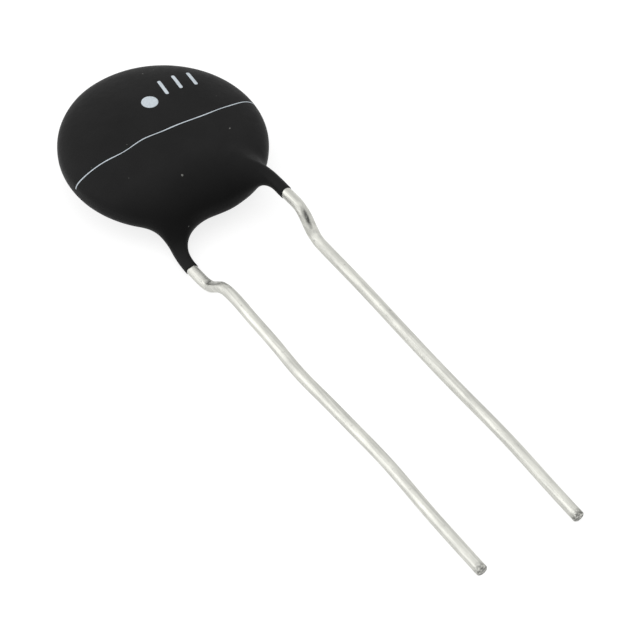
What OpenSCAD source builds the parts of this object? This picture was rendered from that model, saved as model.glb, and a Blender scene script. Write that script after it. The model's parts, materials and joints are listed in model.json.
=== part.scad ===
// Radial-leaded disc NTC thermistor, lying on its back with one lead tip on the surface.
//
// The pieces are drawn in the disc's own frame: the disc's centre is the origin, +Z comes out of
// the printed face and the leads run towards -Y. at_rest() then lays the whole part down.
// The front lead is soldered to the printed face, on the right, and the back lead to the other
// face, on the left. A half turn about Y carries one onto the other.

/* [Ceramic disc] */
// Diameter of the sintered thermistor disc
ceramic_d = 12.2; // [10:0.1:16]
// Thickness of the sintered thermistor disc
ceramic_t = 2.1; // [1.6:0.1:3.2]
// Bevel on both edges of the disc
ceramic_bevel = 0.25; // [0.1:0.05:0.4]

/* [Electrodes] */
// Thickness of the fired silver film
electrode_t = 0.03; // [0.02:0.01:0.06]
// Bare ring between the silver and the disc's bevel
electrode_margin = 0.2; // [0.1:0.05:0.6]

/* [Leads] */
// Diameter of the tinned wire
wire_d = 0.8; // [0.6:0.05:1]
// Distance between the two leads
lead_pitch = 7.5; // [5:0.5:10]
// Reach of the lead tips below the coated disc
lead_l = 33.8; // [20:0.1:40]
// Distance from the coated disc down to the middle of the kink
kink_drop = 4.8; // [4:0.1:8]
// Slope of the kink
kink_angle = 42; // [30:1:60]
// Bend radius at both ends of the kink
kink_r = 1.0; // [0.6:0.05:1.2]
// Depth of the flats that the kinking tool leaves
crimp_flat = 0.07; // [0.03:0.01:0.1]
// Sideways spread of the wire between those flats
crimp_spread = 0.03; // [0.01:0.01:0.05]
// Growth of the wire's radius in a bend
bend_swell = 0.01; // [0.005:0.005:0.02]
// Distance from the coated rim down to the corner where the wire leans in
bend_drop = 1.0; // [0:0.1:1.5]
// Length of wire from that corner to its end on the disc's face
run_l = 8.5; // [7:0.1:10]
// Lean of that stretch towards the middle of the disc
run_lean = 28; // [20:1:45]
// Bend radius at that corner
bend_r = 6; // [2:0.5:8]
// Bevel of the cut tips
tip_bevel = 0.08; // [0.04:0.01:0.15]

/* [Solder] */
// Solder film under the wire
solder_film = 0.02; // [0.01:0.01:0.05]
// Radius of the solder's hollow flank
solder_flank_r = 0.4; // [0.25:0.05:0.5]
// Solder left beside the wire at its widest
solder_lip = 0.06; // [0.03:0.01:0.1]
// Thickness of the solder's thin outer edge
solder_edge = 0.04; // [0.02:0.01:0.08]

/* [Coating] */
// Resin around the rim of the ceramic
rim_coat = 1.1; // [0.9:0.05:1.4]
// Resin over the wire in the middle of the face, if the ceramic lay in the middle of the resin
dome_coat = 0.4; // [0.3:0.05:0.6]
// Distance from the ceramic's middle to the resin's middle, towards the printed face
resin_lift = 0.18; // [0:0.02:0.2]
// Fullness of the coated disc's section: 2 is an ellipse, and more is squarer
section_power = 2.5; // [2.3:0.1:3]
// Resin over the wire where it crosses the shoulder of the disc
wire_coat = 0.15; // [0.1:0.01:0.2]
// Resin on the wire where the coating ends
boot_coat = 0.05; // [0.04:0.01:0.08]
// Reach of the coating down each lead below the disc
boot_l = 2.1; // [1.6:0.1:2.4]
// Reach of the meniscus between the wire's coat and the disc's rim
meniscus = 1.8; // [1.2:0.1:2.4]
// Extra reach of that meniscus on the side of the other lead
inner_web = 0.5; // [0:0.1:1.2]
// Reach of the hollow beside the wire's ridge on the disc's face
ridge_blend = 0.5; // [0.3:0.1:0.8]

/* [Hidden] */
$fn = 64;

wire_r = wire_d / 2;
electrode_r = ceramic_d / 2 - ceramic_bevel - electrode_margin;
face_z = ceramic_t / 2 + electrode_t;
wire_z = face_z + solder_film + wire_r;
lens_r = ceramic_d / 2 + rim_coat;
lens_h = wire_z + wire_r + dome_coat;

// The front lead's corners, from its tip to its end on the disc's face
lead_x = lead_pitch / 2;
rim_y = -sqrt(lens_r * lens_r - lead_x * lead_x);
tip_y = -lens_r - lead_l;
kink_y = -lens_r - kink_drop;
kink_half = wire_z / tan(kink_angle) / 2;
run_dir = [-sin(run_lean), cos(run_lean), 0];
bend = [lead_x, rim_y - bend_drop, wire_z];
run_end = bend + run_l * run_dir;
lead_corners = [
    [lead_x, tip_y, 0],
    [lead_x, kink_y - kink_half, 0],
    [lead_x, kink_y + kink_half, wire_z],
    bend,
    run_end
];
corner_r = [0, kink_r, kink_r, bend_r, 0];
crimped_stretch = 1;
knee = 2;
lean_in = 3;
bend_lap = 0.04;

function unit(v) = v / norm(v);
function heading(i) = unit(lead_corners[i + 1] - lead_corners[i]);
function turn(i) = acos(heading(i - 1) * heading(i));
function setback(i) = corner_r[i] == 0 ? 0 : corner_r[i] * tan(turn(i) / 2);
function straight_start(i) = corner_r[i] == 0 ? 0 : setback(i) - bend_lap;
function inward(i) = unit(heading(i) - heading(i - 1));
function elbow_centre(i) = lead_corners[i] + inward(i) * corner_r[i] / cos(turn(i) / 2);

// Frame whose X, Y and Z are the three unit vectors given, standing at p
function frame(x, y, z, p) = [
    [x.x, y.x, z.x, p.x],
    [x.y, y.y, z.y, p.y],
    [x.z, y.z, z.z, p.z],
    [0, 0, 0, 1]
];

// Straight stretch of round wire after corner i
module rod(i, from, to, r) {
    side = unit(cross(heading(i), [0, 0, 1]));
    multmatrix(frame(side, cross(heading(i), side), heading(i), from))
        cylinder(r = r, h = norm(to - from));
}

module stretch(i) {
    from = lead_corners[i] + heading(i) * (i == 0 ? tip_bevel : straight_start(i));
    to = lead_corners[i + 1] - heading(i) * straight_start(i + 1);
    if (i == crimped_stretch)
        intersection() {
            rod(i, from, to, wire_r + crimp_spread);
            multmatrix(frame([1, 0, 0], cross(heading(i), [1, 0, 0]), heading(i), from))
                translate([-wire_d, crimp_flat - wire_r, 0])
                    cube([2 * wire_d, wire_d - 2 * crimp_flat, norm(to - from)]);
        }
    else
        rod(i, from, to, wire_r);
}

module elbow(i) {
    before = heading(i - 1);
    outward = unit(lead_corners[i] - before * setback(i) - elbow_centre(i));
    multmatrix(frame(outward, before, cross(outward, before), elbow_centre(i)))
        rotate_extrude(angle = turn(i)) translate([corner_r[i], 0]) circle(wire_r + bend_swell);
}

module wire() {
    last = len(lead_corners) - 1;
    multmatrix(frame([1, 0, 0], [0, 0, -1], [0, 1, 0], lead_corners[0]))
        cylinder(r1 = wire_r - tip_bevel, r2 = wire_r, h = tip_bevel);
    for (i = [0 : last - 1]) stretch(i);
    for (i = [1 : last - 1]) elbow(i);
}

module ceramic() {
    r = ceramic_d / 2;
    h = ceramic_t / 2;
    rotate_extrude() polygon([
        [0, -h], [r - ceramic_bevel, -h], [r, ceramic_bevel - h],
        [r, h - ceramic_bevel], [r - ceramic_bevel, h], [0, h]
    ]);
}

module electrode() {
    translate([0, 0, ceramic_t / 2]) cylinder(r = electrode_r, h = electrode_t);
}

// Half of the solder's section: flat under the wire, hollow flank, thin edge
solder_half_w = wire_r + solder_lip + solder_flank_r;
module solder_section() {
    top = solder_flank_r + solder_edge;
    difference() {
        square([solder_half_w, top]);
        translate([solder_half_w, top]) circle(solder_flank_r);
    }
}

// Distance along a line from p to where it next crosses a circle about the disc's axis, or to
// where it comes nearest to the axis if it misses the circle
function entry(p, dir, r) = -p * dir - sqrt(max(0, pow(p * dir, 2) - p * p + r * r));
bend_xy = [bend.x, bend.y];
run_xy = [run_dir.x, run_dir.y];
solder_start = entry(bend_xy, run_xy, electrode_r - solder_half_w);

module solder() {
    across = cross(run_dir, [0, 0, 1]);
    difference() {
        multmatrix(frame(across, [0, 0, 1], -run_dir, [run_end.x, run_end.y, face_z]))
            for (side = [0, 1]) mirror([side, 0, 0]) {
                linear_extrude(run_l - solder_start) solder_section();
                rotate([-90, 0, 0]) rotate_extrude(angle = 90) solder_section();
            }
        wire();
    }
}

// Points on the coated disc's section, from the rim to the pole
section_steps = 14;
function section(t) = [
    lens_r * pow(cos(t), 2 / section_power),
    lens_h * pow(sin(t), 2 / section_power)
];
upper_section = [for (i = [0 : section_steps]) section(90 * i / section_steps)];
lower_section = [for (i = [section_steps : -1 : 1]) [upper_section[i].x, -upper_section[i].y]];

module lens() {
    translate([0, 0, resin_lift]) rotate_extrude() polygon(concat(lower_section, upper_section));
}

// The resin on a wire is a stack of rings around it. Each ring is placed by its distance past the
// corner where the wire leans in, and each of its points is where the resin's surface is met on the
// way out from the wire. That surface blends the wire's coat with the disc's. The rings are drawn
// for the front wire, and `lift` says how far the resin's middle lies towards that wire's side.
ring_sides = 32;
boot_rings = 14;
ridge_rings = 12;
boot_end = -lens_r - boot_l - bend.y;
at_rim = bend_drop;

// The ridge on the disc's face ends where the disc's own resin covers the wire
ridge_cover = dome_coat / 4;
ridge_dive = 0.4;
function covered(lift) = min(1, (wire_z + wire_r + ridge_cover - lift) / lens_h);
function covered_r(lift) = lens_r * pow(1 - pow(covered(lift), section_power), 1 / section_power);
function ridge_end(lift) = min(run_l, entry(bend_xy, run_xy, covered_r(lift)));

function spread(from, to, n) = [for (i = [1 : n]) from + (to - from) * i / n];
function ring_places(lift) = concat(
    [boot_end, boot_end + boot_coat],
    spread(boot_end + boot_coat, at_rim, boot_rings),
    spread(at_rim, ridge_end(lift), ridge_rings),
    [ridge_end(lift) + wire_d, ridge_end(lift) + 2 * wire_d]
);

function clamp01(v) = max(0, min(1, v));
function ring_turn(d) = run_lean * clamp01(d / setback(lean_in) / 2 + 0.5);
function on_wire(d) =
    d < -setback(lean_in) ? bend + [0, d, 0]
    : d > setback(lean_in) ? bend + d * run_dir
    : elbow_centre(lean_in) + bend_r * [cos(ring_turn(d)), sin(ring_turn(d)), 0];
function ring_centre(d, lift) = on_wire(d) - [0, 0, ridge_dive * max(0, d - ridge_end(lift))];
function coat_r(d) = wire_r + (d == boot_end ? boot_coat / 2
    : boot_coat + (wire_coat - boot_coat) * clamp01((d - at_rim) / meniscus + 1));

// Distance from a point to the coated disc's surface, less than zero inside
function lens_gap(p, lift) =
    let (
        q = section_power,
        u = norm([p.x, p.y]) / lens_r,
        v = abs(p.z - lift) / lens_h,
        k = pow(pow(u, q) + pow(v, q), 1 / q)
    )
    (k - 1) / norm([pow(u / k, q - 1) / lens_r, pow(v / k, q - 1) / lens_h]);

// The lesser of two gaps, rounded off where they differ by less than k
function blended(a, b, k) = min(a, b) - pow(max(0, k - abs(a - b)), 2) / (4 * k);

// Reach of that blend at angle a about the wire: 90 faces away from the disc's middle plane, and
// 180 faces the other lead. The inner web is widest half-way between 180 and the middle plane.
inner_web_a = 225;
function blend_reach(a) = ridge_blend + (meniscus - ridge_blend) * (1 - sin(a)) / 2
    + inner_web * pow((1 + cos(a - inner_web_a)) / 2, 2);

sink = 0.04;
reach_step = 0.05;
reach_max = meniscus + inner_web + wire_r;
function resin_gap(c, out, core, k, lift, r) =
    blended(lens_gap(c + r * out, lift) + sink, r - core, k);
function resin_r(c, out, core, k, lift, r, gap) =
    let (
        next = r + reach_step,
        next_gap = resin_gap(c, out, core, k, lift, next)
    )
    next_gap > 0 ? r + reach_step * gap / (gap - next_gap)
    : next > reach_max ? next
    : resin_r(c, out, core, k, lift, next, next_gap);
function ring(d, lift) = [
    for (i = [0 : ring_sides - 1])
        let (
            a = 360 * i / ring_sides,
            side = [cos(ring_turn(d)), sin(ring_turn(d)), 0],
            out = cos(a) * side + [0, 0, sin(a)],
            k = blend_reach(a),
            c = ring_centre(d, lift),
            core = coat_r(d)
        )
        c + out * resin_r(c, out, core, k, lift, core, resin_gap(c, out, core, k, lift, core))
];

module sleeve(lift) {
    places = ring_places(lift);
    points = [for (d = places) each ring(d, lift)];
    last = len(places) - 1;
    walls = [
        for (j = [0 : last - 1], i = [0 : ring_sides - 1])
            let (
                a = j * ring_sides + i,
                b = j * ring_sides + (i + 1) % ring_sides
            )
            each [[a, b, b + ring_sides], [a, b + ring_sides, a + ring_sides]]
    ];
    near = [for (i = [ring_sides - 1 : -1 : 0]) i];
    far = [for (i = [0 : ring_sides - 1]) last * ring_sides + i];
    polyhedron(points, concat(walls, [near, far]));
}

// The half turn that carries the front pieces onto the back ones
module flipped() {
    rotate([0, 180, 0]) children();
}

// The part lies on three points: its back dome, the knee of the back lead and the front lead's tip.
// Each support function gives the piece's furthest point in direction n.
function lens_support(n) =
    let (
        p = section_power,
        flat = norm([n.x, n.y]),
        u = pow(lens_r * flat, 1 / (p - 1)),
        v = pow(lens_h * abs(n.z), 1 / (p - 1)),
        k = pow(pow(u, p) + pow(v, p), 1 / p),
        out = flat == 0 ? [0, 0] : [n.x, n.y] / flat
    )
    [out.x * lens_r * u / k, out.y * lens_r * u / k, resin_lift + sign(n.z) * lens_h * v / k];
function back(p) = [-p.x, p.y, -p.z];
function knee_support(n) = back(elbow_centre(knee)) + kink_r * unit([0, n.y, n.z])
    + (wire_r + bend_swell) * n;
function tip_support(n, bevel) =
    lead_corners[0] + [0, bevel, 0] + (wire_r - tip_bevel + bevel) * unit([n.x, 0, n.z]);
function resting(n, rounds) = rounds == 0 ? n : resting(
    unit(cross(
        tip_support(n, tip_bevel) - lens_support(n),
        knee_support(n) - lens_support(n)
    )),
    rounds - 1
);
settling_rounds = 12;
down = resting([0, 0, -1], settling_rounds);
rest_y = unit([0, 1, 0] - down.y * down);
rest_x = cross(down, rest_y);
floor_z = lens_support(down) * down;
far_y = lens_support(rest_y) * rest_y;
near_y = tip_support(-down, 0) * rest_y;
module at_rest() {
    multmatrix([
        [rest_x.x, rest_x.y, rest_x.z, 0],
        [rest_y.x, rest_y.y, rest_y.z, -(far_y + near_y) / 2],
        [-down.x, -down.y, -down.z, floor_z],
        [0, 0, 0, 1]
    ]) children();
}

module coating() {
    color([0.13, 0.13, 0.13]) at_rest() difference() {
        union() {
            lens();
            sleeve(resin_lift);
            flipped() sleeve(-resin_lift);
        }
        ceramic();
        electrode();
        solder();
        wire();
        flipped() {
            electrode();
            solder();
            wire();
        }
    }
}

module ceramic_disc() {
    color("dimgray") at_rest() ceramic();
}

module electrode_front() {
    color("gainsboro") at_rest() electrode();
}

module electrode_back() {
    color("gainsboro") at_rest() flipped() electrode();
}

module solder_front() {
    color("lightsteelblue") at_rest() solder();
}

module solder_back() {
    color("lightsteelblue") at_rest() flipped() solder();
}

module lead_front() {
    color("silver") at_rest() wire();
}

module lead_back() {
    color("silver") at_rest() flipped() wire();
}

coating();
ceramic_disc();
electrode_front();
electrode_back();
solder_front();
solder_back();
lead_front();
lead_back();
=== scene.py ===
"""Dresses a packed disc thermistor: dipped resin coat, tinned kinked leads, printed marks and a studio.

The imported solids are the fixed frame. Every new piece is modelled in millimetres in the disc's own
frame, where the disc's centre is the origin, +Z comes out of the printed face and the leads run
towards -Y. Each finished piece is then set down in the row frame, in metres.
"""

from __future__ import annotations

import json
import logging
import math
from contextlib import contextmanager
from dataclasses import dataclass, field
from enum import Enum
from typing import Callable, Iterator

import bpy
import numpy as np
from mathutils import Matrix, Vector

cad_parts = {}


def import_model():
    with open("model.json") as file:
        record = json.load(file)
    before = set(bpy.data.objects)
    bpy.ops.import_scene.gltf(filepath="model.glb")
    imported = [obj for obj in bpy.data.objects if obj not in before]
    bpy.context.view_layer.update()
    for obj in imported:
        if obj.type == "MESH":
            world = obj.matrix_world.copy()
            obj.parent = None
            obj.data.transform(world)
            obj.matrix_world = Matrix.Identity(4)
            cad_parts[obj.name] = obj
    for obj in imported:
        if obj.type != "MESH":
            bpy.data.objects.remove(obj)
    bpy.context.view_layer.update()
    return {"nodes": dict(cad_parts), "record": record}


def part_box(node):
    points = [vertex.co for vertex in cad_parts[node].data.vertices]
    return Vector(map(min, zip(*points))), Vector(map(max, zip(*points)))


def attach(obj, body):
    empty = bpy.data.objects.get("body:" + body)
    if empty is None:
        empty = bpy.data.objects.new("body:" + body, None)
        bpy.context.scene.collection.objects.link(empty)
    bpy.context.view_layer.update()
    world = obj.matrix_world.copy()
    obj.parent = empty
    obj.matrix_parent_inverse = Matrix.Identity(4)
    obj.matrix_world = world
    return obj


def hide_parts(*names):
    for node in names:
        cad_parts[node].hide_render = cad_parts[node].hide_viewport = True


LOG = logging.getLogger("thermistor")
BODY = "root"
MM = 0.001


class Face(Enum):
    """The face of the disc that a lead is soldered to."""

    FRONT = 1
    BACK = -1


@dataclass(frozen=True)
class DiscFrame:
    """The disc's own frame, as a matrix from its millimetres to the row frame's metres."""

    matrix: Matrix

    @classmethod
    def from_packed(cls, record: dict, centre: Vector) -> DiscFrame:
        """Finds the frame from the two lead mounts and the middle of the ceramic disc.

        Args:
            record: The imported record, whose mounts are the two leads.
            centre: The middle of the ceramic disc, in metres.

        Returns:
            The disc's frame.
        """
        mounts = {mount["name"]: mount for mount in record["mounts"]}
        front, back = mounts["front_lead"], mounts["back_lead"]
        right = (Vector(front["pos_m"]) - Vector(back["pos_m"])).normalized()
        along = -Vector(front["axis"]).normalized()
        right = (right - right.dot(along) * along).normalized()
        rotation = Matrix((right, along, right.cross(along))).transposed()
        return cls(Matrix.Translation(centre) @ rotation.to_4x4() @ Matrix.Scale(MM, 4))

    def direction(self, vector: Vector) -> Vector:
        """A direction of the disc's frame, as a unit vector of the row frame."""
        return (self.matrix.to_3x3() @ vector).normalized()

    def point(self, vector: Vector) -> Vector:
        """A point of the disc's frame, in the row frame's metres."""
        return self.matrix @ vector


@contextmanager
def editing(piece: bpy.types.Object) -> Iterator[None]:
    """Holds a piece alone in edit mode, and leaves edit mode afterwards.

    Args:
        piece: The mesh object to edit.
    """
    choose(piece)
    bpy.ops.object.mode_set(mode="EDIT")
    try:
        yield
    finally:
        bpy.ops.object.mode_set(mode="OBJECT")


def choose(piece: bpy.types.Object, *others: bpy.types.Object) -> None:
    """Selects these objects and no others, with the first one active."""
    bpy.ops.object.select_all(action="DESELECT")
    for other in others:
        other.select_set(True)
    piece.select_set(True)
    bpy.context.view_layer.objects.active = piece


def select_vertices(piece: bpy.types.Object, test: Callable[[Vector], bool]) -> None:
    """Selects, for the next edit, the vertices whose place passes a test.

    Args:
        piece: The mesh object, in object mode.
        test: Says whether a place is wanted.
    """
    mesh = piece.data
    for polygon in mesh.polygons:
        polygon.select = False
    for edge in mesh.edges:
        edge.select = False
    for vertex in mesh.vertices:
        vertex.select = test(vertex.co)


def modify(piece: bpy.types.Object, kind: str, **settings: object) -> None:
    """Adds a modifier with these settings and applies it.

    Args:
        piece: The object to change.
        kind: The modifier's type.
        settings: The modifier's own settings, by name.
    """
    choose(piece)
    modifier = piece.modifiers.new(kind.lower(), kind)
    for name, value in settings.items():
        setattr(modifier, name, value)
    bpy.ops.object.modifier_apply(modifier=modifier.name)


def mend(piece: bpy.types.Object, gap: float) -> None:
    """Merges doubled vertices and turns every face outwards.

    Args:
        piece: The mesh object.
        gap: Vertices nearer than this, in the piece's own units, are merged.
    """
    with editing(piece):
        bpy.ops.mesh.select_all(action="SELECT")
        bpy.ops.mesh.remove_doubles(threshold=gap)
        bpy.ops.mesh.normals_make_consistent(inside=False)


def set_down(piece: bpy.types.Object, frame: DiscFrame) -> None:
    """Moves a finished piece from the disc's millimetres into the row frame, in its mesh.

    Args:
        piece: The finished mesh object.
        frame: The disc's frame.
    """
    piece.matrix_world = frame.matrix
    choose(piece)
    bpy.ops.object.transform_apply(location=True, rotation=True, scale=True)
    bpy.ops.object.shade_smooth()


class NodeDesk:
    """A node tree with short ways to add, set and link its nodes."""

    def __init__(self, tree: bpy.types.NodeTree) -> None:
        """Keeps the tree that the nodes go into."""
        self.tree = tree

    def add(self, kind: str, **settings: object) -> bpy.types.Node:
        """Adds a node.

        Args:
            kind: The node's type name.
            settings: Properties of the node, by name.

        Returns:
            The new node.
        """
        node = self.tree.nodes.new(kind)
        for name, value in settings.items():
            setattr(node, name, value)
        return node

    def feed(self, socket: bpy.types.NodeSocket, value: object) -> None:
        """Links a socket to another one, or sets it to a plain value."""
        if isinstance(value, bpy.types.NodeSocket):
            self.tree.links.new(value, socket)
        else:
            socket.default_value = value

    def noise(self, vector: object, scale: float, detail: float = 3.0, rough: float = 0.5) -> object:
        """Noise over a vector.

        Args:
            vector: The socket that gives the place.
            scale: How many features there are in each unit.
            detail: How many finer layers are added.
            rough: How strong the finer layers are.

        Returns:
            The socket with the noise, from 0 to 1.
        """
        node = self.add("ShaderNodeTexNoise")
        self.feed(node.inputs["Vector"], vector)
        self.feed(node.inputs["Scale"], scale)
        self.feed(node.inputs["Detail"], detail)
        self.feed(node.inputs["Roughness"], rough)
        return node.outputs["Fac"]

    def math(self, operation: str, first: object, second: object = 0.0) -> object:
        """A sum of two values.

        Args:
            operation: The math node's operation.
            first: The first value or socket.
            second: The second value or socket.

        Returns:
            The socket with the result.
        """
        node = self.add("ShaderNodeMath", operation=operation)
        self.feed(node.inputs[0], first)
        self.feed(node.inputs[1], second)
        return node.outputs[0]

    def spread(self, value: object, low: float, high: float, to_low: float, to_high: float) -> object:
        """A value mapped from one range to another, and held inside it.

        Args:
            value: The socket to map.
            low: The lower end of the range that comes in.
            high: The upper end of that range.
            to_low: What the lower end becomes.
            to_high: What the upper end becomes.

        Returns:
            The socket with the mapped value.
        """
        node = self.add("ShaderNodeMapRange")
        self.feed(node.inputs["Value"], value)
        for name, number in zip(("From Min", "From Max", "To Min", "To Max"), (low, high, to_low, to_high)):
            node.inputs[name].default_value = number
        return node.outputs["Result"]

    def mix(self, share: object, first: object, second: object) -> object:
        """Two colours mixed.

        Args:
            share: How much of the second colour shows.
            first: The first colour or socket.
            second: The second colour or socket.

        Returns:
            The socket with the mixed colour.
        """
        node = self.add("ShaderNodeMix", data_type="RGBA")
        self.feed(node.inputs["Factor"], share)
        self.feed(node.inputs["A"], first)
        self.feed(node.inputs["B"], second)
        return node.outputs["Result"]

    def bump(self, height: object, distance: float, strength: float = 1.0, normal: object = None) -> object:
        """A normal bent by a height.

        Args:
            height: The socket with the height.
            distance: What a height of 1 stands for, in metres.
            strength: How much of the bump is used.
            normal: An earlier bump to start from.

        Returns:
            The socket with the bent normal.
        """
        node = self.add("ShaderNodeBump")
        self.feed(node.inputs["Height"], height)
        node.inputs["Distance"].default_value = distance
        node.inputs["Strength"].default_value = strength
        if normal is not None:
            self.feed(node.inputs["Normal"], normal)
        return node.outputs["Normal"]


class EffectGroups:
    """Shader node groups for the effects that more than one finish uses."""

    def __init__(self) -> None:
        """Builds both groups."""
        self.grain = self._build_grain()
        self.drawn_lines = self._build_drawn_lines()

    @staticmethod
    def _new(name: str, inputs: tuple[tuple[str, str], ...], outputs: tuple[str, ...]) -> tuple:
        """Starts a group with its named sockets.

        Args:
            name: The group's name.
            inputs: The name and socket type of each input.
            outputs: The name of each output, all of them values.

        Returns:
            The group, its desk, its input node and its output node.
        """
        group = bpy.data.node_groups.new(name, "ShaderNodeTree")
        for title, kind in inputs:
            group.interface.new_socket(title, in_out="INPUT", socket_type=kind)
        for title in outputs:
            group.interface.new_socket(title, in_out="OUTPUT", socket_type="NodeSocketFloat")
        desk = NodeDesk(group)
        return group, desk, desk.add("NodeGroupInput"), desk.add("NodeGroupOutput")

    def _build_grain(self) -> bpy.types.NodeTree:
        """Two sizes of mottle over a surface.

        Returns:
            The group, with outputs Broad and Fine from 0 to 1.
        """
        group, desk, given, result = self._new(
            "surface_grain",
            (("Place", "NodeSocketVector"), ("Broad Scale", "NodeSocketFloat"),
             ("Fine Scale", "NodeSocketFloat")),
            ("Broad", "Fine"),
        )
        for title in ("Broad", "Fine"):
            noise = desk.noise(given.outputs["Place"], 1.0, detail=4.0, rough=0.55)
            desk.feed(noise.node.inputs["Scale"], given.outputs[f"{title} Scale"])
            desk.feed(result.inputs[title], desk.spread(noise, 0.3, 0.7, 0.0, 1.0))
        return group

    def _build_drawn_lines(self) -> bpy.types.NodeTree:
        """Long fine marks along local Y, as drawing and handling leave on metal.

        Returns:
            The group, with outputs Lines and Nicks from 0 to 1.
        """
        group, desk, given, result = self._new(
            "drawn_lines",
            (("Place", "NodeSocketVector"), ("Line Scale", "NodeSocketFloat"),
             ("Nick Scale", "NodeSocketFloat")),
            ("Lines", "Nicks"),
        )
        stretched = desk.add("ShaderNodeMapping")
        stretched.inputs["Scale"].default_value = (1.0, 0.03, 1.0)
        desk.feed(stretched.inputs["Vector"], given.outputs["Place"])
        lines = desk.noise(stretched.outputs["Vector"], 1.0, detail=5.0, rough=0.65)
        desk.feed(lines.node.inputs["Scale"], given.outputs["Line Scale"])
        desk.feed(result.inputs["Lines"], desk.spread(lines, 0.38, 0.62, 0.0, 1.0))
        nicks = desk.noise(given.outputs["Place"], 1.0, detail=2.0, rough=0.5)
        desk.feed(nicks.node.inputs["Scale"], given.outputs["Nick Scale"])
        desk.feed(result.inputs["Nicks"], desk.spread(nicks, 0.62, 0.70, 0.0, 1.0))
        return group


@dataclass
class Finish:
    """A material that is being made, with the nodes that every finish here needs."""

    name: str
    frame: DiscFrame
    desk: NodeDesk = field(init=False)
    shader: bpy.types.Node = field(init=False)
    place: bpy.types.NodeSocket = field(init=False)

    def __post_init__(self) -> None:
        """Makes the material, its shader and a place vector that is square to the disc."""
        self.material = bpy.data.materials.new(self.name)
        self.material.use_nodes = True
        self.material.node_tree.nodes.clear()
        self.desk = NodeDesk(self.material.node_tree)
        output = self.desk.add("ShaderNodeOutputMaterial")
        self.shader = self.desk.add("ShaderNodeBsdfPrincipled")
        self.desk.feed(output.inputs["Surface"], self.shader.outputs["BSDF"])
        where = self.desk.add("ShaderNodeTexCoord")
        squared = self.desk.add("ShaderNodeMapping", vector_type="TEXTURE")
        squared.inputs["Location"].default_value = self.frame.matrix.translation
        squared.inputs["Rotation"].default_value = self.frame.matrix.to_euler()
        squared.inputs["Scale"].default_value = (MM, MM, MM)
        self.desk.feed(squared.inputs["Vector"], where.outputs["Object"])
        self.place = squared.outputs["Vector"]

    def group(self, tree: bpy.types.NodeTree, **values: float) -> bpy.types.Node:
        """Places a shared effect in this material.

        Args:
            tree: The effect's node group.
            values: The effect's scales, by input name with underscores for spaces.

        Returns:
            The group's node.
        """
        node = self.desk.add("ShaderNodeGroup")
        node.node_tree = tree
        self.desk.feed(node.inputs["Place"], self.place)
        for name, value in values.items():
            node.inputs[name.replace("_", " ")].default_value = value
        return node

    def set(self, **values: object) -> None:
        """Sets or links the shader's own sockets, by name with underscores for spaces."""
        for name, value in values.items():
            self.desk.feed(self.shader.inputs[name.replace("_", " ")], value)


@dataclass(frozen=True)
class DippedResin:
    """The black resin of the coat: smooth, satin, with a faint orange peel and a patch of painted shade
    towards the leads, right of the middle.
    """

    colour: tuple[float, float, float, float] = (0.0115, 0.0115, 0.0116, 1.0)
    dusty: tuple[float, float, float, float] = (0.0175, 0.0175, 0.0176, 1.0)
    # The colour of the painted shade, darker than the resin, towards the leads.
    painted_shade: tuple[float, float, float, float] = (0.0050, 0.0050, 0.0050, 1.0)
    speck: tuple[float, float, float, float] = (0.16, 0.16, 0.15, 1.0)
    roughness: tuple[float, float] = (0.42, 0.52)
    specular: float = 0.045
    peel_m: float = 0.000012

    def make(self, frame: DiscFrame, effects: EffectGroups) -> bpy.types.Material:
        """Builds the material.

        Args:
            frame: The disc's frame.
            effects: The shared node groups.

        Returns:
            The material.
        """
        finish = Finish("dipped_resin", frame)
        desk = finish.desk
        grain = finish.group(effects.grain, Broad_Scale=0.35, Fine_Scale=2.4)
        dust = desk.noise(finish.place, 16.0, detail=3.0, rough=0.6)
        shade = desk.math("MULTIPLY", grain.outputs["Broad"], 0.6)
        shade = desk.math("ADD", shade, desk.math("MULTIPLY", dust, 0.4))
        normal = desk.bump(grain.outputs["Fine"], self.peel_m, 0.6)
        normal = desk.bump(dust, self.peel_m / 4, 0.5, normal)
        specks = desk.spread(desk.noise(finish.place, 2.1, detail=1.0, rough=0.4), 0.80, 0.83, 0.0, 1.0)
        apart = desk.add("ShaderNodeSeparateXYZ")
        desk.feed(apart.inputs[0], finish.place)
        # Painted shade: the coat is darkened towards the leads, right of the middle, where the face slopes
        # away from the light.
        painted_shade_mask = desk.spread(apart.outputs["Y"], -6.6, -3.2, 0.85, 0.0)
        painted_shade_mask = desk.math("MULTIPLY", painted_shade_mask, desk.spread(apart.outputs["X"], 1.0, 4.2, 1.0, 0.1))
        painted_shade_mask = desk.math("MULTIPLY", painted_shade_mask, desk.spread(apart.outputs["Y"], -8.4, -7.2, 0.1, 1.0))
        resin = desk.mix(painted_shade_mask, desk.mix(shade, self.colour, self.dusty), self.painted_shade)
        finish.set(
            Base_Color=desk.mix(specks, resin, self.speck),
            Roughness=desk.spread(grain.outputs["Fine"], 0.0, 1.0, *self.roughness),
            Specular_IOR_Level=self.specular,
            Normal=normal,
        )
        return finish.material


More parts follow.
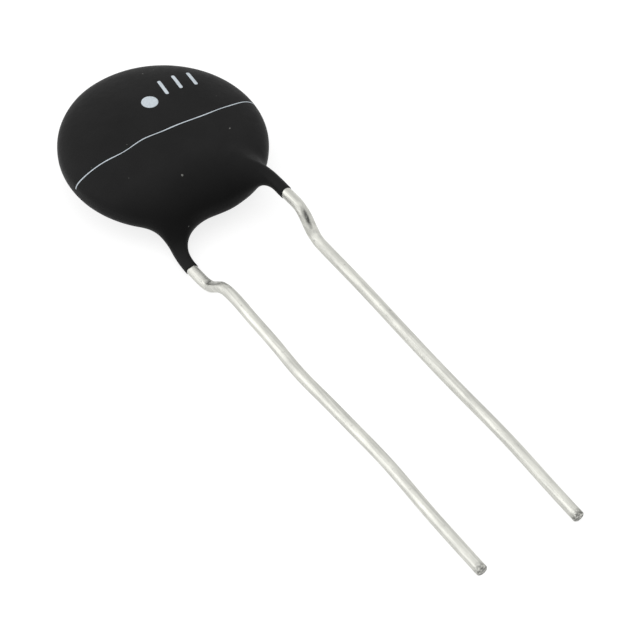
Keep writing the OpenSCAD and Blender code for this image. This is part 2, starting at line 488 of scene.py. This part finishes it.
@dataclass(frozen=True)
class TinnedWire:
    """Tin-plated wire: bright, a little warm, with drawing lines and small dull marks."""

    bright: tuple[float, float, float, float] = (0.66, 0.66, 0.61, 1.0)
    dull: tuple[float, float, float, float] = (0.36, 0.36, 0.34, 1.0)
    bruised: tuple[float, float, float, float] = (0.09, 0.09, 0.085, 1.0)
    roughness: tuple[float, float] = (0.34, 0.50)
    line_m: float = 0.000010
    tip_y: float = -41.0
    crimp: tuple[float, float, float] = (3.66, -11.72, 1.3)
    crimp_size: tuple[float, float, float] = (0.19, 0.85, 0.80)

    def make(self, frame: DiscFrame, effects: EffectGroups) -> bpy.types.Material:
        """Builds the material.

        Args:
            frame: The disc's frame.
            effects: The shared node groups.

        Returns:
            The material.
        """
        finish = Finish("tinned_wire", frame)
        desk = finish.desk
        drawn = finish.group(effects.drawn_lines, Line_Scale=7.0, Nick_Scale=3.2)
        grain = finish.group(effects.grain, Broad_Scale=0.7, Fine_Scale=5.0)
        marks = desk.math("MULTIPLY", drawn.outputs["Nicks"], grain.outputs["Fine"])
        worn = desk.math("MULTIPLY", drawn.outputs["Lines"], 0.45)
        worn = desk.math("ADD", worn, desk.math("MULTIPLY", grain.outputs["Broad"], 0.25))
        worn = desk.math("MAXIMUM", worn, marks)
        normal = desk.bump(drawn.outputs["Lines"], self.line_m, 0.7)
        normal = desk.bump(marks, -self.line_m, 1.0, normal)
        tone = desk.mix(worn, self.bright, self.dull)
        finish.set(
            Base_Color=desk.mix(self._bruises(finish, grain.outputs["Fine"]), tone, self.bruised),
            Metallic=1.0,
            Roughness=desk.spread(worn, 0.0, 1.0, *self.roughness),
            Normal=normal,
        )
        return finish.material

    def _bruises(self, finish: Finish, grain: bpy.types.NodeSocket) -> bpy.types.NodeSocket:
        """Masks the dark mark of the kinking tool and the sheared ends.

        Args:
            finish: The material that is being made.
            grain: A fine mottle that breaks the marks up.

        Returns:
            The socket with the mask, from 0 to 1.
        """
        desk = finish.desk
        around = desk.add("ShaderNodeMapping", vector_type="TEXTURE")
        around.inputs["Location"].default_value = self.crimp
        around.inputs["Scale"].default_value = self.crimp_size
        desk.feed(around.inputs["Vector"], finish.place)
        length = desk.add("ShaderNodeVectorMath", operation="LENGTH")
        desk.feed(length.inputs[0], around.outputs["Vector"])
        crimp = desk.spread(length.outputs["Value"], 0.45, 1.15, 1.0, 0.0)
        crimp = desk.math("MULTIPLY", crimp, desk.spread(grain, 0.0, 0.8, 0.55, 1.0))
        apart = desk.add("ShaderNodeSeparateXYZ")
        desk.feed(apart.inputs[0], finish.place)
        ends = desk.spread(apart.outputs["Y"], self.tip_y + 0.02, self.tip_y + 0.55, 0.85, 0.0)
        chipped = desk.math("MULTIPLY", ends, desk.spread(grain, 0.25, 0.6, 0.1, 1.0))
        return desk.math("MAXIMUM", crimp, chipped)


@dataclass(frozen=True)
class StampedInk:
    """The white marking ink, a little thin where the stamp pressed it out."""

    colour: tuple[float, float, float, float] = (0.60, 0.66, 0.71, 1.0)
    thin: tuple[float, float, float, float] = (0.40, 0.45, 0.49, 1.0)
    roughness: float = 0.6

    def make(self, frame: DiscFrame, effects: EffectGroups) -> bpy.types.Material:
        """Builds the material.

        Args:
            frame: The disc's frame.
            effects: The shared node groups.

        Returns:
            The material.
        """
        finish = Finish("stamped_ink", frame)
        desk = finish.desk
        grain = finish.group(effects.grain, Broad_Scale=0.8, Fine_Scale=7.0)
        patch = desk.math("MULTIPLY", grain.outputs["Broad"], grain.outputs["Fine"])
        finish.set(
            Base_Color=desk.mix(patch, self.colour, self.thin),
            Roughness=self.roughness,
            Normal=desk.bump(grain.outputs["Fine"], 0.000004, 0.6),
        )
        return finish.material


@dataclass(frozen=True)
class HiddenFinish:
    """The finish of a piece inside the coat: one colour with a grain of its own scale."""

    name: str
    light: tuple[float, float, float, float]
    dark: tuple[float, float, float, float]
    metallic: float
    roughness: tuple[float, float]
    fine_scale: float

    def make(self, frame: DiscFrame, effects: EffectGroups) -> bpy.types.Material:
        """Builds the material.

        Args:
            frame: The disc's frame.
            effects: The shared node groups.

        Returns:
            The material.
        """
        finish = Finish(self.name, frame)
        desk = finish.desk
        grain = finish.group(effects.grain, Broad_Scale=0.6, Fine_Scale=self.fine_scale)
        finish.set(
            Base_Color=desk.mix(grain.outputs["Fine"], self.light, self.dark),
            Metallic=self.metallic,
            Roughness=desk.spread(grain.outputs["Broad"], 0.0, 1.0, *self.roughness),
            Normal=desk.bump(grain.outputs["Fine"], 0.00001, 0.5),
        )
        return finish.material


CERAMIC = HiddenFinish(
    "sintered_ceramic", (0.075, 0.072, 0.070, 1.0), (0.035, 0.034, 0.033, 1.0), 0.0, (0.65, 0.85), 9.0
)
SILVER_FILM = HiddenFinish(
    "fired_silver", (0.78, 0.77, 0.73, 1.0), (0.62, 0.61, 0.57, 1.0), 1.0, (0.35, 0.55), 14.0
)
SOLDER = HiddenFinish(
    "tin_solder", (0.68, 0.69, 0.70, 1.0), (0.50, 0.51, 0.52, 1.0), 1.0, (0.20, 0.38), 5.0
)


@dataclass
class Tube:
    """A round tube drawn ring by ring: straights are extruded and bends are spun."""

    name: str
    sides: int
    radius: float
    start: Vector
    heading: Vector
    tip: Vector = field(init=False)

    def __post_init__(self) -> None:
        """Adds the first ring, square to the heading."""
        bpy.ops.object.select_all(action="DESELECT")
        bpy.ops.mesh.primitive_circle_add(
            vertices=self.sides,
            radius=self.radius,
            fill_type="NGON",
            location=self.start,
            rotation=self.heading.to_track_quat("Z", "Y").to_euler(),
        )
        self.piece = bpy.context.object
        self.piece.name = self.name
        bpy.ops.object.transform_apply(location=True, rotation=True, scale=True)
        self.tip = self.start.copy()
        bpy.ops.object.mode_set(mode="EDIT")
        bpy.ops.mesh.select_all(action="SELECT")

    def straight(self, length: float, steps: int = 1, grow: float = 1.0) -> None:
        """Extrudes the last ring along the heading.

        Args:
            length: How far the tube goes.
            steps: How many rings that takes.
            grow: The radius at the end over the radius at the start.
        """
        for _ in range(steps):
            step = self.heading * (length / steps)
            bpy.ops.mesh.extrude_region_move(TRANSFORM_OT_translate={"value": step})
            self.tip += step
            self.swell(grow ** (1.0 / steps))

    def swell(self, factor: float) -> None:
        """Scales the last ring about the tube's axis.

        Args:
            factor: The new radius over the old one.
        """
        if factor != 1.0:
            bpy.ops.transform.resize(value=(factor,) * 3, center_override=self.tip)
            self.radius *= factor

    def bend(self, towards: Vector, radius: float, steps: int) -> None:
        """Spins the last ring round until the tube heads another way.

        Args:
            towards: The new heading.
            radius: The bend's radius at the tube's axis.
            steps: How many rings the bend takes.
        """
        axis = self.heading.cross(towards).normalized()
        angle = self.heading.angle(towards)
        centre = self.tip + axis.cross(self.heading) * radius
        bpy.ops.mesh.spin(steps=steps, angle=-angle, center=centre, axis=axis)
        turn = Matrix.Rotation(angle, 3, axis)
        self.tip = centre + turn @ (self.tip - centre)
        self.heading = turn @ self.heading

    def finish(self) -> bpy.types.Object:
        """Leaves edit mode with a closed tube whose faces point outwards.

        Returns:
            The tube's object.
        """
        bpy.ops.mesh.select_all(action="SELECT")
        bpy.ops.mesh.normals_make_consistent(inside=False)
        bpy.ops.object.mode_set(mode="OBJECT")
        return self.piece


@dataclass(frozen=True)
class Drift:
    """A slight bend to one side, over a stretch of a lead or of the printed line."""

    place: float
    push: float
    width: float

    def at(self, place: float | np.ndarray) -> float | np.ndarray:
        """How far to the side it lies at this place along it."""
        return self.push * np.exp(-(((place - self.place) / self.width) ** 2))


LEAD_DRIFTS = {
    Face.FRONT: (Drift(-8.6, -0.07, 1.4), Drift(-18.2, 0.06, 4.0), Drift(-33.5, 0.14, 4.2)),
    Face.BACK: (
        Drift(-9.4, -0.09, 1.7),
        Drift(-14.4, 0.06, 1.2),
        Drift(-21.8, -0.15, 2.5),
        Drift(-30.8, 0.17, 3.6),
    ),
}
LINE_DRIFTS = (
    Drift(-3.8, -0.26, 1.7),
    Drift(-0.6, -0.12, 1.4),
    Drift(3.2, -0.08, 1.0),
    Drift(6.4, 0.07, 0.9),
)


KINKS = {Face.FRONT: -11.8, Face.BACK: -12.0}


@dataclass
class Lead:
    """One tinned lead, from its cut tip to its end on the disc's face."""

    face: Face
    radius: float = 0.4
    spacing: float = 7.5
    height: float = 1.5
    tip_y: float = -40.999
    kink_y: float = -12.0
    kink_slope: float = math.radians(42.0)
    kink_radius: float = 1.9
    corner_y: float = -7.146
    run_length: float = 8.5
    run_lean: float = math.radians(28.0)
    run_radius: float = 6.0
    flat: float = 0.34
    spread: float = 0.03
    sides: int = 48

    @property
    def run_back(self) -> float:
        """How far before the corner, where the lead leans in, its bend begins."""
        return self.run_radius * math.tan(self.run_lean / 2)

    def build(self) -> bpy.types.Object:
        """Models the lead in the disc's frame, in millimetres.

        Returns:
            The lead's mesh object.
        """
        sign = self.face.value
        out = Vector((0.0, 0.0, sign))
        along = Vector((0.0, 1.0, 0.0))
        climb = (along * math.cos(self.kink_slope) + out * math.sin(self.kink_slope)).normalized()
        lean = Vector((-sign * math.sin(self.run_lean), math.cos(self.run_lean), 0.0))
        half = self.height / math.tan(self.kink_slope) / 2
        kink_back = self.kink_radius * math.tan(self.kink_slope / 2)
        start = Vector((sign * self.spacing / 2, self.tip_y, 0.0))
        tube = Tube(f"tinned_lead_{self.face.name.lower()}", self.sides, self.radius, start, along)
        tube.straight(self.kink_y - half - kink_back - self.tip_y, steps=72)
        tube.bend(climb, self.kink_radius, steps=10)
        tube.straight(self.height / math.sin(self.kink_slope) - 2 * kink_back, steps=12)
        tube.bend(along, self.kink_radius, steps=10)
        tube.straight(self.corner_y - self.run_back - (self.kink_y + half + kink_back), steps=8)
        tube.bend(lean, self.run_radius, steps=10)
        tube.straight(self.run_length - self.run_back, steps=8)
        lead = tube.finish()
        self._press_kink(lead, climb)
        self._bow(lead)
        self._trim_tip(lead)
        return lead

    def _press_kink(self, lead: bpy.types.Object, climb: Vector) -> None:
        """Presses the two soft flats that the kinking tool leaves on the sloping stretch.

        Args:
            lead: The lead's object.
            climb: The direction of the sloping stretch.
        """
        middle = Vector((self.face.value * self.spacing / 2, self.kink_y, self.face.value * self.height / 2))
        across = climb.cross(Vector((1.0, 0.0, 0.0))).normalized()
        reach = self.height / math.sin(self.kink_slope) / 2
        for vertex in lead.data.vertices:
            away = vertex.co - middle
            hold = 1.0 - (away.dot(climb) / reach) ** 2
            if hold <= 0.0 or away.length > reach + self.radius:
                continue
            hold = hold * hold * (3.0 - 2.0 * hold)
            depth = away.dot(across)
            pressed = depth / (1.0 + abs(depth / self.flat) ** 6) ** (1 / 6)
            vertex.co += across * hold * (pressed - depth)
            vertex.co.x += hold * (away.x / self.radius) * self.spread

    def _bow(self, lead: bpy.types.Object) -> None:
        """Gives the long straight stretch its slight sideways bends.

        Args:
            lead: The lead's object.
        """
        for vertex in lead.data.vertices:
            vertex.co.x += sum(drift.at(vertex.co.y) for drift in LEAD_DRIFTS[self.face])

    def _trim_tip(self, lead: bpy.types.Object) -> None:
        """Rounds the cut end's edge.

        Args:
            lead: The lead's object.
        """
        select_vertices(lead, lambda place: place.y < self.tip_y + self.radius / 10)
        with editing(lead):
            bpy.ops.mesh.select_mode(type="VERT")
            bpy.ops.mesh.bevel(offset=0.07, segments=3, affect="EDGES")


@dataclass(frozen=True)
class RimSwell:
    """A place on the rim where the dipped resin stands a little further out or in."""

    turn: float
    push: float
    width: float

    def at(self, angle: np.ndarray) -> np.ndarray:
        """How far the rim moves out at these angles about the disc's axis, in radians."""
        away = np.angle(np.exp(1j * (angle - math.radians(self.turn))))
        return self.push * np.exp(-((away / math.radians(self.width)) ** 2))


RIM_SWELLS = (RimSwell(-95.0, -0.26, 14.0), RimSwell(108.0, 0.03, 12.0))
INNER_WEBS = {Face.FRONT: 0.5, Face.BACK: 1.1}
OUTER_WEBS = {Face.FRONT: 0.0, Face.BACK: 0.55}


@dataclass
class ResinCoat:
    """The dipped coat: a full pillow of resin that runs a little way down each lead."""

    wire: Lead = field(default_factory=lambda: Lead(Face.FRONT))
    radius: float = 7.185
    half_height: float = 2.29
    lift: float = 0.18
    fullness: float = 2.5
    boot_end: float = -9.3
    boot_coat: float = 0.05
    ridge_coat: float = 0.125
    ridge_cover: float = 0.1
    ridge_dive: float = 0.4
    blend: float = 0.5
    meniscus: float = 1.8
    inner_web_turn: float = math.radians(225.0)
    outer_web_turn: float = math.radians(-40.0)
    voxel: float = 0.08

    def build(self) -> bpy.types.Object:
        """Models the coat in the disc's frame, in millimetres.

        Returns:
            The coat's mesh object.
        """
        pillow = self._pillow()
        sleeves = [self._sleeve(face) for face in Face]
        choose(pillow, *sleeves)
        bpy.ops.object.join()
        pillow.name = "resin_coat"
        for voxel in (1.5 * self.voxel, self.voxel):
            modify(pillow, "REMESH", mode="VOXEL", voxel_size=voxel)
            self._flow(pillow, rounds=10)
        return pillow

    def section(self, angle: float) -> tuple[float, float]:
        """A point of the pillow's section.

        Args:
            angle: 0 at the rim and a quarter turn at the pole.

        Returns:
            The distance from the disc's axis and the height over its middle plane.
        """
        power = 2.0 / self.fullness
        across = math.copysign(abs(math.cos(angle)) ** power, math.cos(angle))
        up = math.copysign(abs(math.sin(angle)) ** power, math.sin(angle))
        return self.radius * across, self.lift + self.half_height * up

    def _pillow(self) -> bpy.types.Object:
        """Spins the section round the disc's axis.

        Returns:
            The pillow's object.
        """
        bpy.ops.object.select_all(action="DESELECT")
        bpy.ops.mesh.primitive_circle_add(vertices=256, radius=1.0, rotation=(math.radians(90.0), 0.0, 0.0))
        pillow = bpy.context.object
        bpy.ops.object.transform_apply(location=True, rotation=True, scale=True)
        select_vertices(pillow, lambda place: place.x < -1e-4)
        with editing(pillow):
            bpy.ops.mesh.delete(type="VERT")
        for vertex in pillow.data.vertices:
            across, up = self.section(math.atan2(vertex.co.z, vertex.co.x))
            vertex.co = (across, 0.0, up)
        with editing(pillow):
            bpy.ops.mesh.select_all(action="SELECT")
            bpy.ops.mesh.spin(steps=192, angle=math.tau, center=(0.0, 0.0, 0.0), axis=(0.0, 0.0, 1.0))
        mend(pillow, gap=0.002)
        return pillow

    def _sleeve(self, face: Face) -> bpy.types.Object:
        """Draws the resin round one wire, from the boot's end to where it sinks into the face.

        Args:
            face: The face that the wire lies on.

        Returns:
            The sleeve's object.
        """
        sign = face.value
        wire = self.wire
        start = Vector((sign * wire.spacing / 2, self.boot_end, sign * wire.height))
        lean = Vector((-sign * math.sin(wire.run_lean), math.cos(wire.run_lean), 0.0))
        tube = Tube("sleeve", 32, wire.radius + self.boot_coat, start, Vector((0.0, 1.0, 0.0)))
        tube.straight(wire.corner_y - wire.run_back - self.boot_end, steps=4)
        tube.bend(lean, wire.run_radius, steps=8)
        tube.straight(self._ridge_end(face) - wire.run_back, steps=8, grow=1.15)
        return tube.finish()

    def _ridge_end(self, face: Face) -> float:
        """How far past the corner the pillow's own resin covers a wire.

        Args:
            face: The face that the wire lies on.

        Returns:
            The distance along the wire's run.
        """
        wire = self.wire
        top = wire.height + wire.radius + self.ridge_cover - face.value * self.lift
        share = min(1.0, top / self.half_height) ** self.fullness
        circle = self.radius * (1.0 - share) ** (1.0 / self.fullness)
        corner = Vector((wire.spacing / 2, wire.corner_y))
        way = Vector((-math.sin(wire.run_lean), math.cos(wire.run_lean)))
        ahead = -corner.dot(way)
        return ahead - math.sqrt(max(0.0, ahead**2 - corner.length_squared + circle**2))

    def _flow(self, coat: bpy.types.Object, rounds: int) -> None:
        """Lets every point of the mesh run onto the resin's own surface.

        Args:
            coat: The remeshed coat.
            rounds: How many steps each point may take.
        """
        places = np.empty(len(coat.data.vertices) * 3)
        coat.data.vertices.foreach_get("co", places)
        places = places.reshape(-1, 3)
        probe = 0.002
        for _ in range(rounds):
            gap = self._gap(places)
            slope = np.stack([(self._gap(places + axis) - gap) / probe for axis in np.eye(3) * probe], axis=1)
            steep = np.maximum(np.linalg.norm(slope, axis=1), 0.3)
            step = np.clip(gap / steep, -0.12, 0.12)
            places -= (step / steep)[:, None] * slope
        coat.data.vertices.foreach_set("co", places.ravel())
        coat.data.update()

    def _gap(self, places: np.ndarray) -> np.ndarray:
        """The distance from each place to the resin's surface, less than zero inside.

        Args:
            places: Places in the disc's frame, one in each row.

        Returns:
            One distance for each place.
        """
        gap = self._pillow_gap(places)
        for face in Face:
            gap = self._blended(gap, *self._wire_gap(places, face))
        return gap

    @staticmethod
    def _blended(first: np.ndarray, second: np.ndarray, reach: np.ndarray) -> np.ndarray:
        """The lesser of two gaps, rounded off where they differ by less than the reach."""
        near = np.maximum(0.0, reach - np.abs(first - second))
        return np.minimum(first, second) - near**2 / (4.0 * reach)

    def _pillow_gap(self, places: np.ndarray) -> np.ndarray:
        """The distance from each place to the pillow, with the slight unevenness of its rim."""
        x, y, z = places.T
        angle = np.arctan2(y, x)
        radius = self.radius + sum(swell.at(angle) for swell in RIM_SWELLS)
        power = self.fullness
        across = np.hypot(x, y) / radius
        up = np.abs(z - self.lift) / self.half_height
        size = np.maximum((across**power + up**power) ** (1.0 / power), 1e-6)
        slope = np.hypot(
            (across / size) ** (power - 1.0) / radius, (up / size) ** (power - 1.0) / self.half_height
        )
        return (size - 1.0) / slope

    def _wire_gap(self, places: np.ndarray, face: Face) -> tuple[np.ndarray, np.ndarray]:
        """The distance from each place to the resin round one wire, and how far it blends there.

        Args:
            places: Places in the disc's frame, one in each row.
            face: The face that the wire lies on.

        Returns:
            The distances and the reaches of the blend.
        """
        wire = self.wire
        sign = face.value
        drift = sum(drift.at(places[:, 1]) for drift in LEAD_DRIFTS[face])
        x, y, z = sign * (places[:, 0] - drift), places[:, 1], sign * places[:, 2]
        x = x - wire.spacing / 2
        y = y - wire.corner_y
        lean = wire.run_lean
        turn = np.arctan2(y + wire.run_back, x + wire.run_radius)
        before = y < -wire.run_back
        after = (turn > lean) & ~before
        run = y * math.cos(lean) - x * math.sin(lean)
        arc = (turn / lean - 0.5) * 2.0 * wire.run_back
        passed = np.where(before, y, np.where(after, run, arc))
        side = np.where(
            before,
            x,
            np.where(
                after,
                x * math.cos(lean) + y * math.sin(lean),
                np.hypot(x + wire.run_radius, y + wire.run_back) - wire.run_radius,
            ),
        )
        dive = self.ridge_dive * np.maximum(0.0, passed - self._ridge_end(face))
        up = z - wire.height + dive
        rim = -wire.corner_y - math.sqrt(self.radius**2 - (wire.spacing / 2) ** 2)
        grown = np.clip((passed - rim) / self.meniscus + 1.0, 0.0, 1.0)
        past = np.maximum(0.0, passed - self._ridge_end(face) - 4.0 * wire.radius)
        gap = np.sqrt(side**2 + up**2 + 4.0 * past**2) - wire.radius
        gap = gap - self.boot_coat - grown * (self.ridge_coat - self.boot_coat)
        end = self.boot_end - wire.corner_y - y + 0.06 * np.sin(3.0 * side + 4.0 * up)
        gap = -self._blended(-gap, -end, np.full_like(gap, 0.08))
        angle = np.arctan2(up, side)
        reach = self.blend + (self.meniscus - self.blend) * (1.0 - np.sin(angle)) / 2.0
        reach = reach + INNER_WEBS[face] * ((1.0 + np.cos(angle - self.inner_web_turn)) / 2.0) ** 3
        reach = reach + OUTER_WEBS[face] * ((1.0 + np.cos(angle - self.outer_web_turn)) / 2.0) ** 3
        return gap, reach


@dataclass
class PrintedMarks:
    """The white print on the front face: a line across it, a dot and three short strokes."""

    coat: bpy.types.Object
    disc_radius: float = 7.18
    line_width: float = 0.070
    stroke_length: float = 1.55
    stroke_width: float = 0.25
    stroke_turn: float = math.radians(-9.0)
    dot_radius: float = 0.58
    film: float = 0.01

    def build(self) -> bpy.types.Object:
        """Lays the marks on the front dome, in the disc's frame, in millimetres.

        Returns:
            The print's mesh object.
        """
        marks = [self._line(), self._dot(Vector((0.33, 2.12, 0.0)))]
        marks.extend(
            self._stroke(Vector((x, y, 0.0))) for x, y in ((1.92, 2.90), (3.08, 2.94), (4.20, 2.78))
        )
        choose(marks[0], *marks[1:])
        bpy.ops.object.join()
        printed = marks[0]
        printed.name = "printed_marks"
        self._drape(printed)
        return printed

    def _bar(self, length: float, width: float, grid: float) -> bpy.types.Object:
        """A flat bar of small faces about the origin, long in X.

        Args:
            length: Its size along X.
            width: Its size along Y.
            grid: About how large its faces are.

        Returns:
            The bar's object.
        """
        bpy.ops.object.select_all(action="DESELECT")
        bpy.ops.mesh.primitive_grid_add(
            x_subdivisions=round(length / grid), y_subdivisions=max(2, round(width / grid)), size=1.0
        )
        bar = bpy.context.object
        bar.scale = (length, width, 1.0)
        bpy.ops.object.transform_apply(location=True, rotation=True, scale=True)
        return bar

    def _line(self) -> bpy.types.Object:
        """The thin line from rim to rim, stamped a little out of true.

        Returns:
            The line's object.
        """
        line = self._bar(1.0, self.line_width, 0.0025)
        for vertex in line.data.vertices:
            x = self.disc_radius * math.sin(math.radians(-88.0 + (vertex.co.x + 0.5) * 164.0))
            step = 0.5 + 0.5 * math.tanh((x - 0.2) / 1.3)
            end = math.exp(-(x + self.disc_radius) / 0.25)
            thin = 1.0 + 0.25 * math.sin(1.7 * x + 1.0) * math.cos(0.9 * x)
            y = -0.46 - 0.38 * step + 0.18 * end + sum(drift.at(x) for drift in LINE_DRIFTS)
            y += 0.02 * math.sin(2.3 * x)
            vertex.co = (x, y + vertex.co.y * thin, 0.0)
        return line

    def _stroke(self, centre: Vector) -> bpy.types.Object:
        """A short upright bar of ink with rounded ends.

        Args:
            centre: The middle of the bar.

        Returns:
            The bar's object.
        """
        bar = self._bar(self.stroke_length, self.stroke_width, 0.035)
        turn = Matrix.Rotation(math.radians(90.0) + self.stroke_turn, 3, "Z")
        blunt = self.stroke_width / 2
        for vertex in bar.data.vertices:
            past = max(0.0, abs(vertex.co.x) - self.stroke_length / 2 + blunt) / blunt
            vertex.co.y *= math.sqrt(max(0.1, 1.0 - 0.8 * past**2))
            vertex.co = centre + turn @ vertex.co
        return bar

    def _dot(self, centre: Vector) -> bpy.types.Object:
        """A round dot of ink.

        Args:
            centre: The dot's middle.

        Returns:
            The dot's object.
        """
        bpy.ops.object.select_all(action="DESELECT")
        bpy.ops.mesh.primitive_circle_add(
            vertices=48, radius=self.dot_radius, fill_type="TRIFAN", location=centre
        )
        dot = bpy.context.object
        bpy.ops.object.transform_apply(location=True, rotation=True, scale=True)
        with editing(dot):
            bpy.ops.mesh.select_all(action="SELECT")
            bpy.ops.mesh.subdivide(number_cuts=6)
        return dot

    def _drape(self, printed: bpy.types.Object) -> None:
        """Lays the flat marks on the coat and gives the ink its thickness.

        Args:
            printed: The joined marks.
        """
        down = Vector((0.0, 0.0, -1.0))
        for vertex in printed.data.vertices:
            hit, place, normal, _ = self.coat.ray_cast(Vector((vertex.co.x, vertex.co.y, 5.0)), down)
            if hit:
                vertex.co = place + normal * self.film / 2
        mend(printed, gap=0.0005)
        modify(printed, "SOLIDIFY", thickness=self.film, offset=0.0)


@dataclass
class Studio:
    """A pale floor, a soft white surround and the camera at the photograph's angle."""

    frame: DiscFrame
    azimuth: float = math.radians(-36.943)
    elevation: float = math.radians(48.372)
    roll: float = math.radians(2.336)
    distance: float = 232.8
    focal_mm: float = 192.9
    aim_right: float = 10.643
    aim_down: float = 11.695
    floor_m: float = 3.0

    def build(self) -> None:
        """Sets up the camera, the floor, the world and the lamps."""
        self._camera()
        self._floor()
        self._world()
        self._lamps()
        bpy.context.scene.view_settings.view_transform = "Standard"

    def view_axes(self) -> tuple[Vector, Vector, Vector]:
        """The camera's right, up and backward directions in the disc's frame."""
        flat = math.cos(self.elevation)
        back = Vector((
            math.sin(self.azimuth) * flat,
            -math.cos(self.azimuth) * flat,
            math.sin(self.elevation),
        ))
        level = Vector((math.cos(self.azimuth), math.sin(self.azimuth), 0.0))
        upright = back.cross(level)
        right = level * math.cos(self.roll) + upright * math.sin(self.roll)
        up = upright * math.cos(self.roll) - level * math.sin(self.roll)
        return right, up, back

    def _camera(self) -> None:
        """Places the camera so that the disc and the tips fall where the photograph has them."""
        right, up, back = self.view_axes()
        place = right * self.aim_right - up * self.aim_down + back * self.distance
        camera = bpy.data.cameras.new("camera")
        camera.lens = self.focal_mm
        camera.sensor_width = 36.0
        camera.sensor_fit = "HORIZONTAL"
        camera.clip_start = 0.01
        camera.clip_end = 20.0
        eye = bpy.data.objects.new("camera", camera)
        bpy.context.scene.collection.objects.link(eye)
        axes = [self.frame.direction(axis) for axis in (right, up, back)]
        turn = Matrix(axes).transposed().to_4x4()
        eye.matrix_world = Matrix.Translation(self.frame.point(place)) @ turn
        bpy.context.scene.camera = eye

    def _floor(self) -> None:
        """Lays the floor that the part rests on."""
        bpy.ops.object.select_all(action="DESELECT")
        bpy.ops.mesh.primitive_plane_add(size=self.floor_m, location=(0.0, 0.0, 0.0))
        floor = bpy.context.object
        floor.name = "floor"
        material = bpy.data.materials.new("floor_white")
        material.use_nodes = True
        material.node_tree.nodes.clear()
        desk = NodeDesk(material.node_tree)
        output = desk.add("ShaderNodeOutputMaterial")
        matt = desk.add("ShaderNodeBsdfDiffuse")
        matt.inputs["Color"].default_value = (0.35, 0.35, 0.35, 1.0)
        glow = desk.add("ShaderNodeEmission")
        glow.inputs["Color"].default_value = (1.0, 1.0, 1.0, 1.0)
        desk.feed(glow.inputs["Strength"], desk.math("MULTIPLY", self._seen(desk), 0.78))
        both = desk.add("ShaderNodeAddShader")
        desk.feed(both.inputs[0], matt.outputs[0])
        desk.feed(both.inputs[1], glow.outputs[0])
        desk.feed(output.inputs["Surface"], both.outputs[0])
        floor.data.materials.append(material)

    @staticmethod
    def _seen(desk: NodeDesk) -> object:
        """A value that is 1 where the camera, or gloss or glass, looks at the surface.

        Args:
            desk: The desk of the node tree that needs it.

        Returns:
            The socket with the value.
        """
        path = desk.add("ShaderNodeLightPath")
        seen = desk.math("MAXIMUM", path.outputs["Is Camera Ray"], path.outputs["Is Glossy Ray"])
        return desk.math("MAXIMUM", seen, path.outputs["Is Transmission Ray"])

    def _world(self) -> None:
        """Surrounds the scene with white that lights it only softly."""
        world = bpy.data.worlds.new("surround")
        world.use_nodes = True
        world.node_tree.nodes.clear()
        desk = NodeDesk(world.node_tree)
        output = desk.add("ShaderNodeOutputWorld")
        ground = desk.add("ShaderNodeBackground")
        ground.inputs["Color"].default_value = (1.0, 1.0, 1.0, 1.0)
        desk.feed(ground.inputs["Strength"], desk.spread(self._seen(desk), 0.0, 1.0, 0.8, 1.0))
        desk.feed(output.inputs["Surface"], ground.outputs[0])
        bpy.context.scene.world = world

    def _lamps(self) -> None:
        """Hangs a large key light and a weaker fill."""
        lamps = (
            ("key", (-0.66, 0.45, 0.40), 1.0, 2.9),
            ("top", (0.10, 0.10, 0.80), 0.9, 0.9),
        )
        for name, place, size, power in lamps:
            light = bpy.data.lights.new(name, "AREA")
            light.size = size
            light.energy = power
            lamp = bpy.data.objects.new(name, light)
            bpy.context.scene.collection.objects.link(lamp)
            lamp.location = place
            lamp.rotation_euler = (-Vector(place)).to_track_quat("-Z", "Y").to_euler()


def dress(piece: bpy.types.Object, material: bpy.types.Material) -> None:
    """Gives a piece one material all over.

    Args:
        piece: The mesh object.
        material: The material.
    """
    piece.data.materials.clear()
    piece.data.materials.append(material)


def main() -> None:
    """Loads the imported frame, builds and dresses every piece, and sets up the studio."""
    logging.basicConfig(level=logging.INFO, format="%(name)s: %(message)s")
    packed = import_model()
    low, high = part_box("ceramic_disc")
    frame = DiscFrame.from_packed(packed["record"], (low + high) / 2)
    effects = EffectGroups()

    wire_finish = TinnedWire().make(frame, effects)
    for face in Face:
        node = f"lead_{face.name.lower()}"
        lead = Lead(face, kink_y=KINKS[face]).build()
        set_down(lead, frame)
        dress(lead, wire_finish)
        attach(lead, BODY)
        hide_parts(node)
        LOG.info("%s has %d faces", lead.name, len(lead.data.polygons))

    resin = ResinCoat().build()
    marks = PrintedMarks(resin).build()
    set_down(resin, frame)
    dress(resin, DippedResin().make(frame, effects))
    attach(resin, BODY)
    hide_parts("coating")
    LOG.info("%s has %d faces", resin.name, len(resin.data.polygons))

    set_down(marks, frame)
    dress(marks, StampedInk().make(frame, effects))
    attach(marks, BODY)
    LOG.info("%s has %d faces", marks.name, len(marks.data.polygons))

    hidden = {
        "ceramic_disc": CERAMIC,
        "electrode_front": SILVER_FILM,
        "electrode_back": SILVER_FILM,
        "solder_front": SOLDER,
        "solder_back": SOLDER,
    }
    made = {finish.name: finish.make(frame, effects) for finish in hidden.values()}
    for node, finish in hidden.items():
        dress(packed["nodes"][node], made[finish.name])
        LOG.info("%s is finished as %s", node, finish.name)

    Studio(frame).build()


if __name__ == "__main__":
    main()
